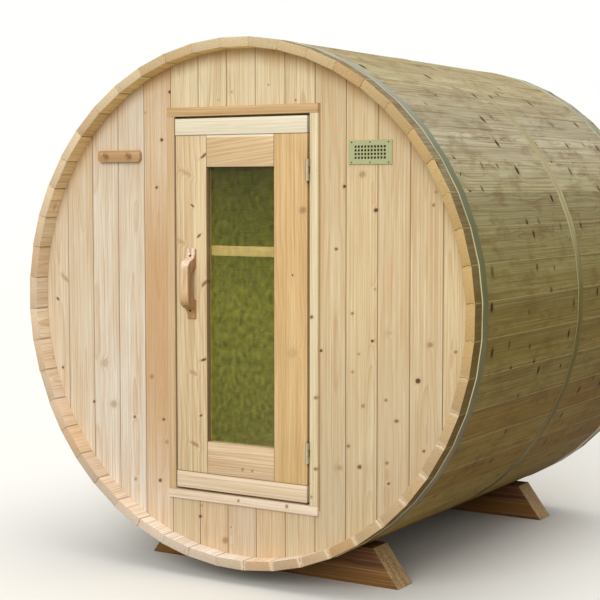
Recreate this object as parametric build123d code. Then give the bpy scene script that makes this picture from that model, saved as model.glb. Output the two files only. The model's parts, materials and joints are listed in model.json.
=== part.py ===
from build123d import *
from math import cos, radians, sin, tan
import os

# Barrel sauna: a round timber cabin on two cradles, entered by a glazed door in its front end.
# The barrel's axis runs along Y at a height above the ground, the front faces -Y and Z is up.
# All sizes are in millimetres and all angles in degrees.

# Barrel
BARREL_DIAMETER = 1920.0
BARREL_LENGTH = 1884.0
BARREL_CLEAR_HEIGHT = 57.0
STAVE_COUNT = 48
STAVE_THICKNESS = 35.0
STAVE_TURN = 2.9
STAVE_GAP = 0.4
STAVES_PER_SEGMENT = 6
BEAD_SHOULDER = 5.0
BEAD_WIDTH = 18.0
BEAD_RISE = 2.7
CROZE_DEPTH = 10.0
CROZE_PLAY = 0.3

# End walls
WALL_RECESS = 66.0
WALL_THICKNESS = 36.0
WALL_SEAT_GAP = 0.3
BOARD_WIDTH = 125.0
BOARD_GAP = 0.4
BOARD_BEVEL = 2.0
TONGUE_LENGTH = 7.0
TONGUE_THICKNESS = 9.0
TONGUE_PLAY = 0.3

# Door frame
DOORWAY_OFFSET = 2.5
DOORWAY_WIDTH = 587.0
DOORWAY_TO_ROOF = 237.0
DOORWAY_TO_BOTTOM = 219.0
FRAME_WIDTH = 33.0
FRAME_PROUD = 11.0
STOP_WIDTH = 14.0
STOP_DEPTH = 10.0
STOP_GAP = 5.0
STOP_JOINT = 0.4

# Door leaf
LEAF_LATCH_GAP = 5.0
LEAF_HINGE_GAP = 11.0
LEAF_TOP_GAP = 8.0
LEAF_BOTTOM_GAP = 10.0
LEAF_PROUD = 8.0
LEAF_THICKNESS = 38.0
LEAF_LATCH_BEVEL = 2.5
BATTEN_PROUD = 2.0
TOP_BATTEN_HEIGHT = 61.0
BOTTOM_BATTEN_HEIGHT = 63.0
STILE_WIDTH = 139.0
TOP_RAIL_HEIGHT = 116.0
BOTTOM_RAIL_HEIGHT = 119.0
GLASS_SETBACK = 22.0
GLASS_THICKNESS = 5.0
GLASS_GROOVE = 10.0
GLASS_PLAY = 0.3
INNER_BAR_HEIGHT = 37.0
INNER_BAR_DEPTH = 18.0
INNER_BAR_DROP = 306.0
INNER_BAR_GAP = 3.0

# Door handle, a D cut from one plank
HANDLE_FROM_EDGE = 73.0
HANDLE_RISE = 766.0
HANDLE_WIDTH = 38.0
HANDLE_LENGTH = 260.0
HANDLE_DEPTH = 51.0
HANDLE_GRIP_LENGTH = 118.0
HANDLE_TOE = 7.0
HANDLE_GRIP_THICKNESS = 18.0
HANDLE_FINGER_LENGTH = 116.0
HANDLE_FINGER_ROUND = 30.0
HANDLE_FOOT_LENGTH = 12.0

# Hinges
TOP_HINGE_DROP = 190.0
BOTTOM_HINGE_RISE = 181.0
HINGE_HEIGHT = 76.0
HINGE_PLATE = 2.2
HINGE_PLATE_DEPTH = 26.0
HINGE_KNUCKLE_RADIUS = 6.5
HINGE_KNUCKLE_LENGTH = 25.0
HINGE_PIN_RADIUS = 3.0
HINGE_PIN_PLAY = 0.1
HINGE_KNUCKLE_GAP = 0.5
HINGE_STAND = 0.5
HINGE_MORTISE_PLAY = 0.1

# Vent grille
GRILLE_FROM_FRAME = 205.0
GRILLE_DROP = 172.0
GRILLE_WIDTH = 170.0
GRILLE_HEIGHT = 84.0
GRILLE_THICKNESS = 5.0
GRILLE_BEVEL = 1.7
GRILLE_COLUMNS = 10
GRILLE_ROWS = 4
GRILLE_PITCH = 12.6
GRILLE_HOLE = 8.0
VENT_MARGIN = 3.0

# Hook rail
HOOK_RAIL_FROM_FRAME = 224.0
HOOK_RAIL_DROP = 175.0
HOOK_RAIL_LENGTH = 200.0
HOOK_RAIL_HEIGHT = 44.0
HOOK_RAIL_ROUND = 15.0
HOOK_RAIL_THICKNESS = 15.0
PEG_SPACING = 110.0
PEG_RADIUS = 8.0
PEG_LENGTH = 42.0
PEG_TILT = 12.0

# Bands
BAND_WIDTH = 50.0
BAND_THICKNESS = 1.6
BAND_PLAY = 0.2
BAND_INSET = 54.0
LUG_STAVE_COUNT = 31
LUG_SPACING = 34.0
LUG_HEIGHT = 26.0
LUG_THICKNESS = 3.0
BOLT_RADIUS = 4.0
BOLT_LEVEL = 14.0
BOLT_HEAD_RADIUS = 7.5
BOLT_HEAD_THICKNESS = 5.5
BOLT_TAIL = 6.0

# Cradles
CRADLE_LENGTH = 1102.0
CRADLE_TOP_LENGTH = 892.0
CRADLE_HEIGHT = 140.0
CRADLE_PLANKS = 3
CRADLE_PLANK_THICKNESS = 36.4
CRADLE_PLANK_GAP = 0.4
FRONT_CRADLE_INSET = 252.0
REAR_CRADLE_INSET = 206.0
CRADLE_PLAY = 0.3

# Slatted floor
FLOOR_RISE = 165.0
FLOOR_SLATS = 9
FLOOR_SLAT_WIDTH = 96.0
FLOOR_SLAT_GAP = 10.0
FLOOR_SLAT_THICKNESS = 20.0
FLOOR_END_GAP = 6.0
BEARER_COUNT = 3
BEARER_THICKNESS = 38.0
BEARER_INSET = 120.0
BEARER_PLAY = 0.3

# Sizes that follow from the ones above
radius = BARREL_DIAMETER / 2
half_step = 180.0 / STAVE_COUNT
face_radius = radius * cos(radians(half_step))
inner_radius = face_radius - STAVE_THICKNESS
axis_height = BARREL_CLEAR_HEIGHT + radius
front_y = -BARREL_LENGTH / 2
front_wall_y = front_y + WALL_RECESS
back_wall_y = -front_wall_y - WALL_THICKNESS
doorway_left = DOORWAY_OFFSET - DOORWAY_WIDTH / 2
doorway_right = DOORWAY_OFFSET + DOORWAY_WIDTH / 2
doorway_top = inner_radius - DOORWAY_TO_ROOF
doorway_bottom = DOORWAY_TO_BOTTOM - inner_radius
frame_left = doorway_left - FRAME_WIDTH
frame_right = doorway_right + FRAME_WIDTH
frame_top = doorway_top + FRAME_WIDTH
frame_bottom = doorway_bottom - FRAME_WIDTH
leaf_y = front_wall_y - LEAF_PROUD
leaf_left = doorway_left + LEAF_LATCH_GAP
leaf_right = doorway_right - LEAF_HINGE_GAP
leaf_top = doorway_top - LEAF_TOP_GAP
leaf_bottom = doorway_bottom + LEAF_BOTTOM_GAP
hinge_levels = (leaf_top - TOP_HINGE_DROP, leaf_bottom + BOTTOM_HINGE_RISE)
grille_x = frame_right + GRILLE_FROM_FRAME
grille_level = frame_top - GRILLE_DROP
hook_rail_x = frame_left - HOOK_RAIL_FROM_FRAME
hook_rail_level = frame_top - HOOK_RAIL_DROP
floor_level = FLOOR_RISE - inner_radius
barrel_axis = Axis((0, 0, axis_height), (0, -1, 0))


def block(x0, x1, y0, y1, z0, z1):
    """A box between two corners, with its heights measured from the barrel's axis."""
    centre = Pos((x0 + x1) / 2, (y0 + y1) / 2, axis_height + (z0 + z1) / 2)
    return centre * Box(x1 - x0, y1 - y0, z1 - z0)


def write(name, solids):
    """Writes one node: a solid, or a list of solids."""
    shape = solids if not isinstance(solids, list) else Compound(children=solids)
    export_step(shape, f"parts/{name}.step")


# Staves


def stave_edge(depth):
    """Half the width of a stave at a depth below its outer face."""
    return (face_radius - depth) * tan(radians(half_step)) - STAVE_GAP / 2 / cos(radians(half_step))


def make_stave():
    """One stave lying at the barrel's +X side, with a bead, a cove and a croze near each end."""
    outer, inner = face_radius, inner_radius
    high, low = BEAD_SHOULDER, BEAD_SHOULDER + BEAD_WIDTH
    middle = (high + low) / 2
    rise_x, rise_z = BEAD_RISE * sin(radians(half_step)), BEAD_RISE * cos(radians(half_step))
    bead = [(outer - d, stave_edge(d)) for d in (high, middle, low)]
    cove = [(x, -z) for x, z in bead]
    bead[1] = (bead[1][0] - rise_x, bead[1][1] + rise_z)
    cove[1] = (cove[1][0] + rise_x, cove[1][1] + rise_z)
    outline = [
        Line((outer, -stave_edge(0)), (outer, stave_edge(0))),
        Line((outer, stave_edge(0)), bead[0]),
        ThreePointArc(*bead),
        Line(bead[2], (inner, stave_edge(STAVE_THICKNESS))),
        Line((inner, stave_edge(STAVE_THICKNESS)), (inner, -stave_edge(STAVE_THICKNESS))),
        Line((inner, -stave_edge(STAVE_THICKNESS)), cove[2]),
        ThreePointArc(*reversed(cove)),
        Line(cove[0], (outer, -stave_edge(0))),
    ]
    end = Plane(origin=(0, front_y, axis_height), x_dir=(1, 0, 0), z_dir=(0, -1, 0))
    stave = extrude(end * make_face(Wire(outline)), amount=-BARREL_LENGTH)
    reach = stave_edge(0) + BEAD_RISE
    for wall_y in (front_wall_y, back_wall_y):
        stave -= block(
            inner - STAVE_THICKNESS,
            inner + CROZE_DEPTH,
            wall_y - CROZE_PLAY,
            wall_y + WALL_THICKNESS + CROZE_PLAY,
            -reach,
            reach,
        )
    return stave


def make_staves():
    """The barrel's staves in segments, counted round from the +X side towards the top."""
    names = [
        "staves_right_upper",
        "staves_top_right",
        "staves_top_left",
        "staves_left_upper",
        "staves_left_lower",
        "staves_bottom_left",
        "staves_bottom_right",
        "staves_right_lower",
    ]
    stave = make_stave()
    for s, name in enumerate(names):
        first = s * STAVES_PER_SEGMENT
        turns = [stave_angle(k) for k in range(first, first + STAVES_PER_SEGMENT)]
        write(name, [stave.rotate(barrel_axis, turn) for turn in turns])


def stave_polygon(flat):
    """The barrel's many-sided outline with its flats at a distance from the axis."""
    return RegularPolygon(flat / cos(radians(half_step)), STAVE_COUNT, rotation=STAVE_TURN)


def stave_angle(k):
    """The angle of a stave's middle, from +X towards +Z."""
    return STAVE_TURN + half_step * (2 * k + 1)


# End walls


def wall_seat(wall_y):
    """The space of an end wall, its outline on the flats of the crozes."""
    flat = inner_radius + CROZE_DEPTH - WALL_SEAT_GAP
    plane = Plane(origin=(0, wall_y, axis_height), x_dir=(1, 0, 0), z_dir=(0, -1, 0))
    return extrude(plane * stave_polygon(flat), amount=-WALL_THICKNESS)


def make_board(x0, x1):
    """One upright tongue-and-groove board of the front wall, longer than the wall is high."""
    right = x1 - BOARD_GAP
    mid = WALL_THICKNESS / 2
    tongue, groove = TONGUE_THICKNESS / 2, TONGUE_THICKNESS / 2 + TONGUE_PLAY
    profile = [
        (x0 + BOARD_BEVEL, 0),
        (x0, BOARD_BEVEL),
        (x0, mid - groove),
        (x0 + TONGUE_LENGTH, mid - groove),
        (x0 + TONGUE_LENGTH, mid + groove),
        (x0, mid + groove),
        (x0, WALL_THICKNESS),
        (right, WALL_THICKNESS),
        (right, mid + tongue),
        (right + TONGUE_LENGTH, mid + tongue),
        (right + TONGUE_LENGTH, mid - tongue),
        (right, mid - tongue),
        (right, BOARD_BEVEL),
        (right - BOARD_BEVEL, 0),
    ]
    base = Plane(origin=(0, front_wall_y, axis_height - radius))
    return extrude(base * make_face(Polyline(*profile, close=True)), amount=2 * radius)


def board_edges():
    """The left edge of each board, with one board centred on the barrel."""
    count = 2 * int((radius - STAVE_THICKNESS + CROZE_DEPTH - BOARD_WIDTH / 2) / BOARD_WIDTH + 1) + 1
    return [(i - count / 2) * BOARD_WIDTH for i in range(count)]


def make_walls():
    """The front wall, cut for the door frame and the vent, and the plain back wall, turned to face +Y."""
    back_y = front_wall_y + WALL_THICKNESS
    frame_hole = block(frame_left, frame_right, front_wall_y, back_y, frame_bottom, frame_top)
    vent = vent_hole()
    front_seat, back_seat = wall_seat(front_wall_y), wall_seat(back_wall_y)
    groups = {}
    for x0 in board_edges():
        side, other_side = ("left", "right") if x0 < 0 else ("right", "left")
        board = make_board(x0, x0 + BOARD_WIDTH)
        pieces = (board & front_seat - frame_hole).solids()
        beside = len(pieces) == 1
        for piece in pieces:
            over = "over" if piece.center().Z > axis_height else "under"
            place = side if beside else f"{over}_door"
            groups.setdefault(f"front_wall_{place}", []).append((piece - vent).solid())
        place = other_side if beside else "middle"
        groups.setdefault(f"back_wall_{place}", []).append((board.rotate(Axis.Z, 180) & back_seat).solid())
    for name, boards in groups.items():
        write(name, boards)


# Vent


def vent_hole():
    """The hole through the front wall behind the grille."""
    half_x = GRILLE_PITCH * GRILLE_COLUMNS / 2 + VENT_MARGIN
    half_z = GRILLE_PITCH * GRILLE_ROWS / 2 + VENT_MARGIN
    return block(
        grille_x - half_x,
        grille_x + half_x,
        front_wall_y,
        front_wall_y + WALL_THICKNESS,
        grille_level - half_z,
        grille_level + half_z,
    )


def make_grille():
    """A flat plate on the wall with rows of square holes."""
    plate = block(
        grille_x - GRILLE_WIDTH / 2,
        grille_x + GRILLE_WIDTH / 2,
        front_wall_y - GRILLE_THICKNESS,
        front_wall_y,
        grille_level - GRILLE_HEIGHT / 2,
        grille_level + GRILLE_HEIGHT / 2,
    )
    face = plate.faces().sort_by(Axis.Y)[0]
    plate = chamfer(face.edges(), GRILLE_BEVEL)
    centre = Pos(grille_x, front_wall_y - GRILLE_THICKNESS / 2, axis_height + grille_level)
    grid = GridLocations(GRILLE_PITCH, GRILLE_PITCH, GRILLE_COLUMNS, GRILLE_ROWS)
    holes = [centre * Rot(90, 0, 0) * spot * Box(GRILLE_HOLE, GRILLE_HOLE, GRILLE_THICKNESS) for spot in grid]
    write("vent_grille", plate - holes)


# Door frame


def make_frame():
    """Header, jambs and sill through the wall, and the stops that the leaf closes against."""
    y0, y1 = front_wall_y - FRAME_PROUD, front_wall_y + WALL_THICKNESS + FRAME_PROUD
    write("door_header", block(frame_left, frame_right, y0, y1, doorway_top, frame_top))
    write("door_sill", block(frame_left, frame_right, y0, y1, frame_bottom, doorway_bottom))
    write("door_jamb_left", block(frame_left, doorway_left, y0, y1, doorway_bottom, doorway_top))
    right_jamb = block(doorway_right, frame_right, y0, y1, doorway_bottom, doorway_top)
    write("door_jamb_right", right_jamb - hinge_mortises(doorway_right, 1))
    stop_y = leaf_y + LEAF_THICKNESS + STOP_GAP
    stop_y1 = stop_y + STOP_DEPTH
    left, right = doorway_left + STOP_WIDTH, doorway_right - STOP_WIDTH
    left_stop = block(doorway_left, left, stop_y, stop_y1, doorway_bottom, doorway_top)
    right_stop = block(right, doorway_right, stop_y, stop_y1, doorway_bottom, doorway_top)
    under = doorway_top - STOP_WIDTH
    top_stop = block(left + STOP_JOINT, right - STOP_JOINT, stop_y, stop_y1, under, doorway_top)
    write("door_stops", [left_stop, right_stop, top_stop])


# Door leaf


def latch_bevel():
    """The sliver planed off the leaf's latch edge, so that its inner corner swings clear of the jamb."""
    y1 = leaf_y + LEAF_THICKNESS
    sliver = Polyline((leaf_left, leaf_y), (leaf_left + LEAF_LATCH_BEVEL, y1), (leaf_left, y1), close=True)
    foot = Plane(origin=(0, 0, axis_height + leaf_bottom))
    return extrude(foot * make_face(sliver), amount=leaf_top - leaf_bottom)


def make_leaf():
    """Battens, stiles and rails round a tall pane of glass, with a bar across the pane's inner side."""
    y0, y1 = leaf_y, leaf_y + LEAF_THICKNESS
    rail_top = leaf_top - TOP_BATTEN_HEIGHT
    rail_bottom = leaf_bottom + BOTTOM_BATTEN_HEIGHT
    glass_left, glass_right = leaf_left + STILE_WIDTH, leaf_right - STILE_WIDTH
    glass_top, glass_bottom = rail_top - TOP_RAIL_HEIGHT, rail_bottom + BOTTOM_RAIL_HEIGHT
    pane_y = y0 + GLASS_SETBACK
    groove = block(
        glass_left - GLASS_GROOVE,
        glass_right + GLASS_GROOVE,
        pane_y - GLASS_PLAY,
        pane_y + GLASS_THICKNESS + GLASS_PLAY,
        glass_bottom - GLASS_GROOVE,
        glass_top + GLASS_GROOVE,
    )
    bevel = latch_bevel()
    batten_y = y0 - BATTEN_PROUD
    write("door_top_batten", block(leaf_left, leaf_right, batten_y, y1, rail_top, leaf_top) - bevel)
    write("door_bottom_batten", block(leaf_left, leaf_right, batten_y, y1, leaf_bottom, rail_bottom) - bevel)
    write("door_stile_left", block(leaf_left, glass_left, y0, y1, rail_bottom, rail_top) - groove - bevel)
    right_stile = block(glass_right, leaf_right, y0, y1, rail_bottom, rail_top) - groove
    write("door_stile_right", right_stile - hinge_mortises(leaf_right, -1))
    write("door_top_rail", block(glass_left, glass_right, y0, y1, glass_top, rail_top) - groove)
    write("door_bottom_rail", block(glass_left, glass_right, y0, y1, rail_bottom, glass_bottom) - groove)
    edge = GLASS_GROOVE - GLASS_PLAY
    write(
        "door_glass",
        block(
            glass_left - edge,
            glass_right + edge,
            pane_y,
            pane_y + GLASS_THICKNESS,
            glass_bottom - edge,
            glass_top + edge,
        ),
    )
    bar_y = pane_y + GLASS_THICKNESS + INNER_BAR_GAP
    bar_level = glass_top - INNER_BAR_DROP
    write(
        "door_inner_bar",
        block(
            glass_left,
            glass_right,
            bar_y,
            bar_y + INNER_BAR_DEPTH,
            bar_level - INNER_BAR_HEIGHT / 2,
            bar_level + INNER_BAR_HEIGHT / 2,
        ),
    )


def handle_profile(up):
    """Half of the handle's outer profile, from the middle of the grip to the toe, as edges in (Y, Z)."""
    grip, half = HANDLE_GRIP_LENGTH / 2, HANDLE_LENGTH / 2
    foot = half - HANDLE_FOOT_LENGTH
    middle = ((-HANDLE_DEPTH - HANDLE_TOE) / 2, up * (grip + foot) / 2)
    return [
        Line((-HANDLE_DEPTH, 0), (-HANDLE_DEPTH, up * grip)),
        TangentArc((-HANDLE_DEPTH, up * grip), middle, tangent=(0, up)),
        TangentArc((-HANDLE_TOE, up * foot), middle, tangent=(0, -up)),
        Line((-HANDLE_TOE, up * foot), (-HANDLE_TOE, up * half)),
        Line((-HANDLE_TOE, up * half), (0, up * half)),
    ]


def finger_profile(up):
    """Half of the finger hole's profile, from the middle of the grip's back to the leaf."""
    end, round_ = HANDLE_FINGER_LENGTH / 2, HANDLE_FINGER_ROUND
    back = HANDLE_GRIP_THICKNESS - HANDLE_DEPTH
    corner = (back + round_, up * end)
    straight = Line((back, 0), (back, up * (end - round_)))
    return [straight, TangentArc(straight @ 1, corner, tangent=(0, up)), Line(corner, (0, up * end))]


def make_handle():
    """The D handle: toes that curve down to the leaf at both ends, a straight grip and a finger hole."""
    half, finger = HANDLE_LENGTH / 2, HANDLE_FINGER_LENGTH / 2
    edges = [edge for up in (1, -1) for edge in handle_profile(up) + finger_profile(up)]
    feet = [Line((0, up * finger), (0, up * half)) for up in (1, -1)]
    x = leaf_left + HANDLE_FROM_EDGE
    level = axis_height + leaf_bottom + HANDLE_RISE
    side = Plane(origin=(x, leaf_y, level), x_dir=(0, 1, 0), z_dir=(1, 0, 0))
    plank = extrude(side * make_face(edges + feet), amount=HANDLE_WIDTH / 2, both=True)
    write("door_handle", plank)


# Hinges


def hinge_pin():
    """Where the hinges' pin stands: over the gap, just clear of the faces beside it."""
    face = front_wall_y - max(FRAME_PROUD, LEAF_PROUD)
    return leaf_right + LEAF_HINGE_GAP / 2, face - HINGE_STAND - HINGE_KNUCKLE_RADIUS


def hinge_mortises(x, side):
    """The pockets for the plates, cut into the edge at x on the given side of it."""
    pockets = []
    for level in hinge_levels:
        x0, x1 = sorted((x, x + side * (HINGE_PLATE + HINGE_MORTISE_PLAY)))
        reach = HINGE_HEIGHT / 2 + HINGE_MORTISE_PLAY
        y1 = hinge_pin()[1] + HINGE_PLATE_DEPTH + HINGE_MORTISE_PLAY
        pockets.append(block(x0, x1, leaf_y - FRAME_PROUD, y1, level - reach, level + reach))
    return pockets


def make_hinge_half(level, x, side, face_y, lengths):
    """One half of a hinge: a plate on the edge at x, and knuckles at the given heights."""
    pin_x, pin_y = hinge_pin()
    x0, x1 = sorted((x, x + side * HINGE_PLATE))
    half = HINGE_HEIGHT / 2
    plate_y = pin_y + HINGE_PLATE_DEPTH
    shape = block(x0, x1, face_y, plate_y, level - half, level + half)
    for z0, z1 in lengths:
        shape += block(x0, x1, pin_y, face_y, level + z0, level + z1)
        knuckle = Pos(pin_x, pin_y, axis_height + level + (z0 + z1) / 2)
        shape += knuckle * Cylinder(HINGE_KNUCKLE_RADIUS, z1 - z0)
    return shape


def make_hinges():
    """Two butt hinges. The frame's half holds the pin and the door's knuckle turns on it."""
    pin_x, pin_y = hinge_pin()
    half = HINGE_HEIGHT / 2
    near = HINGE_KNUCKLE_LENGTH / 2
    far = near + HINGE_KNUCKLE_GAP
    frame_halves, door_halves = [], []
    for level in hinge_levels:
        spot = Pos(pin_x, pin_y, axis_height + level)
        frame_half = make_hinge_half(
            level, doorway_right, 1, front_wall_y - FRAME_PROUD, [(-half, -far), (far, half)]
        )
        frame_halves.append(frame_half + spot * Cylinder(HINGE_PIN_RADIUS, 2 * far))
        door_half = make_hinge_half(level, leaf_right, -1, leaf_y, [(-near, near)])
        door_halves.append(door_half - spot * Cylinder(HINGE_PIN_RADIUS + HINGE_PIN_PLAY, 2 * far))
    write("hinges_frame_side", frame_halves)
    write("hinges_door_side", door_halves)


# Hook rail


def make_hook_rail():
    """A small board with rounded ends and two round pegs, to the left of the door."""
    plane = Plane(
        origin=(hook_rail_x, front_wall_y, axis_height + hook_rail_level), x_dir=(1, 0, 0), z_dir=(0, -1, 0)
    )
    outline = RectangleRounded(HOOK_RAIL_LENGTH, HOOK_RAIL_HEIGHT, HOOK_RAIL_ROUND)
    rail = extrude(plane * outline, HOOK_RAIL_THICKNESS)
    for side in (-1, 1):
        root = Pos(
            hook_rail_x + side * PEG_SPACING / 2,
            front_wall_y - HOOK_RAIL_THICKNESS / 2,
            axis_height + hook_rail_level,
        )
        along = Rot(90 - PEG_TILT, 0, 0)
        rail += root * along * Pos(0, 0, PEG_LENGTH / 2) * Cylinder(PEG_RADIUS, PEG_LENGTH)
    write("hook_rail", rail)


# Bands


def make_bands():
    """Three straps round the staves, each drawn tight by a bolt between two lugs low on the left."""
    starts = {
        "front_band": front_y + BAND_INSET,
        "middle_band": -BAND_WIDTH / 2,
        "rear_band": -front_y - BAND_INSET - BAND_WIDTH,
    }
    inside = face_radius + BAND_PLAY
    near, far = LUG_SPACING / 2, LUG_SPACING / 2 + LUG_THICKNESS
    lug_angle = stave_angle(LUG_STAVE_COUNT)
    bolts = []
    for name, y0 in starts.items():
        y1 = y0 + BAND_WIDTH
        plane = Plane(origin=(0, y0, axis_height), x_dir=(1, 0, 0), z_dir=(0, -1, 0))
        ring = stave_polygon(inside + BAND_THICKNESS) - stave_polygon(inside)
        gap = block(inside, inside + LUG_HEIGHT, y0, y1, -near, near)
        band = extrude(plane * ring, amount=-BAND_WIDTH) - gap.rotate(barrel_axis, lug_angle)
        for z0, z1 in ((-far, -near), (near, far)):
            lug = block(inside, inside + LUG_HEIGHT, y0, y1, z0, z1)
            band += lug.rotate(barrel_axis, lug_angle)
        write(name, band)
        spot = Pos(inside + BOLT_LEVEL, (y0 + y1) / 2, axis_height)
        bolts += [(spot * piece).rotate(barrel_axis, lug_angle) for piece in make_bolt()]
    write("band_bolts", bolts)


def make_bolt():
    """A hexagon bolt along Z in three lengths: the head, the shank between the lugs, and the nut and tail."""
    reach = LUG_SPACING / 2 + LUG_THICKNESS
    nut = extrude(RegularPolygon(BOLT_HEAD_RADIUS, 6), BOLT_HEAD_THICKNESS)
    tail = Pos(0, 0, -BOLT_TAIL / 2) * Cylinder(BOLT_RADIUS, BOLT_TAIL)
    return [
        Pos(0, 0, reach) * nut,
        Cylinder(BOLT_RADIUS, LUG_SPACING),
        Pos(0, 0, -reach - BOLT_HEAD_THICKNESS) * (nut + tail),
    ]


# Cradles


def make_cradle(y0):
    """Planks on edge side by side, sloped at their ends and hollowed on top to the staves' faces."""
    foot, shoulder = CRADLE_LENGTH / 2, CRADLE_TOP_LENGTH / 2
    outline = Polyline(
        (-foot, -axis_height),
        (foot, -axis_height),
        (shoulder, CRADLE_HEIGHT - axis_height),
        (-shoulder, CRADLE_HEIGHT - axis_height),
        close=True,
    )
    profile = make_face(outline) - stave_polygon(face_radius + CRADLE_PLAY)
    planks = []
    for i in range(CRADLE_PLANKS):
        y = y0 + i * (CRADLE_PLANK_THICKNESS + CRADLE_PLANK_GAP)
        plane = Plane(origin=(0, y, axis_height), x_dir=(1, 0, 0), z_dir=(0, -1, 0))
        planks.append(extrude(plane * profile, amount=-CRADLE_PLANK_THICKNESS))
    return planks


def make_cradles():
    """The front and rear cradles under the barrel."""
    depth = CRADLE_PLANKS * CRADLE_PLANK_THICKNESS + (CRADLE_PLANKS - 1) * CRADLE_PLANK_GAP
    write("cradle_front", make_cradle(front_y + FRONT_CRADLE_INSET))
    write("cradle_rear", make_cradle(-front_y - REAR_CRADLE_INSET - depth))


# Floor


def make_floor():
    """Slats between the end walls on three bearers that are cut to the staves' inner faces."""
    y0 = front_wall_y + WALL_THICKNESS + FRAME_PROUD + FLOOR_END_GAP
    y1 = back_wall_y - FLOOR_END_GAP
    under = floor_level - FLOOR_SLAT_THICKNESS
    pitch = FLOOR_SLAT_WIDTH + FLOOR_SLAT_GAP
    slats = []
    for i in range(FLOOR_SLATS):
        x = (i - (FLOOR_SLATS - 1) / 2) * pitch
        slats.append(block(x - FLOOR_SLAT_WIDTH / 2, x + FLOOR_SLAT_WIDTH / 2, y0, y1, under, floor_level))
    write("floor_boards", slats)
    bearers = []
    first, last = y0 + BEARER_INSET, y1 - BEARER_INSET - BEARER_THICKNESS
    for i in range(BEARER_COUNT):
        y = first + (last - first) * i / (BEARER_COUNT - 1)
        plane = Plane(origin=(0, y, axis_height), x_dir=(1, 0, 0), z_dir=(0, -1, 0))
        bearer = extrude(plane * stave_polygon(inner_radius - BEARER_PLAY), amount=-BEARER_THICKNESS)
        bearers.append(bearer & block(-radius, radius, y, y + BEARER_THICKNESS, -radius, under))
    write("floor_bearers", bearers)


os.makedirs("parts", exist_ok=True)
make_staves()
make_walls()
make_grille()
make_frame()
make_leaf()
make_handle()
make_hinges()
make_hook_rail()
make_bands()
make_cradles()
make_floor()
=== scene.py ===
import json
import math
import random

import bmesh
import bpy
from mathutils import Matrix, Vector
from mathutils.bvhtree import BVHTree

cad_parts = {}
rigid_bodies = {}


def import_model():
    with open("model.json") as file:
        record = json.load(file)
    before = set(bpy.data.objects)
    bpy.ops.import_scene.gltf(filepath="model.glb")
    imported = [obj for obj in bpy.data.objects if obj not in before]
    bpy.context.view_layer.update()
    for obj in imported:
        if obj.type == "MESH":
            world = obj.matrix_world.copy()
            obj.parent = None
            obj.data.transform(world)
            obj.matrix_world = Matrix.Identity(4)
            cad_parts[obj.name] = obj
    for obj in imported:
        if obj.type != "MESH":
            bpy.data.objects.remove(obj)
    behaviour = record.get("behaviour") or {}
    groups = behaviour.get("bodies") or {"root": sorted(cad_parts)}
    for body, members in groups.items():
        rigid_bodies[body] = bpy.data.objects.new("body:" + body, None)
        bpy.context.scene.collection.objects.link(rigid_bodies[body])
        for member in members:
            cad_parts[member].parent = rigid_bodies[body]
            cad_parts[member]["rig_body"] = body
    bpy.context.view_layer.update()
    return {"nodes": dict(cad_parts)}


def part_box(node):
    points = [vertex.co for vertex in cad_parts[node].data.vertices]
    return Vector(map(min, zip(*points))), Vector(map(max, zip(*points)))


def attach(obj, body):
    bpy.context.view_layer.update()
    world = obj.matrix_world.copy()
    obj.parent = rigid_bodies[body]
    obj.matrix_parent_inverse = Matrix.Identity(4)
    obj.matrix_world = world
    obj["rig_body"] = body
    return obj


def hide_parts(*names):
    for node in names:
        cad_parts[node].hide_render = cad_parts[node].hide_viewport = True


# Looks of the barrel sauna: woods, steel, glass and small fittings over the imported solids.
# Lengths are in metres. The barrel's axis runs along Y, its front faces -Y and Z is up.

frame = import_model()
cad = frame["nodes"]

AXIS_HEIGHT = 1.017
STAVE_COUNT = 48
STAVE_STEP = 360 / STAVE_COUNT  # degrees
STAVE_TURN = 2.9  # degrees from +X to the nearest joint between staves
STAVE_FACE = 0.958  # from the axis to a stave's outer face
RIM_DEPTH = 0.87  # from the middle of the barrel to where its open rims start
BOARD = 0.125
WALL_FACE = 0.876  # from the middle of the barrel to a wall's outer face
JAMB_SIDE = 0.333
JAMB_HALF_HEIGHT = 0.72
SHADED_BOARD = -3.0  # the board beside the left jamb, counted from the middle, which takes a painted shadow at mid height
BROWN_STAVES = (-9, -6, -4)  # counted from the joint at STAVE_TURN
BAND_FRONTS = (-0.888, -0.025, 0.838)
FRONT_BAND_EDGE = -0.887
HANDLE_FOOT, HANDLE_TOP = 0.959, 1.219
CRADLE_PLANK = 0.0368
FLOOR_SLAT = 0.106

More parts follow.
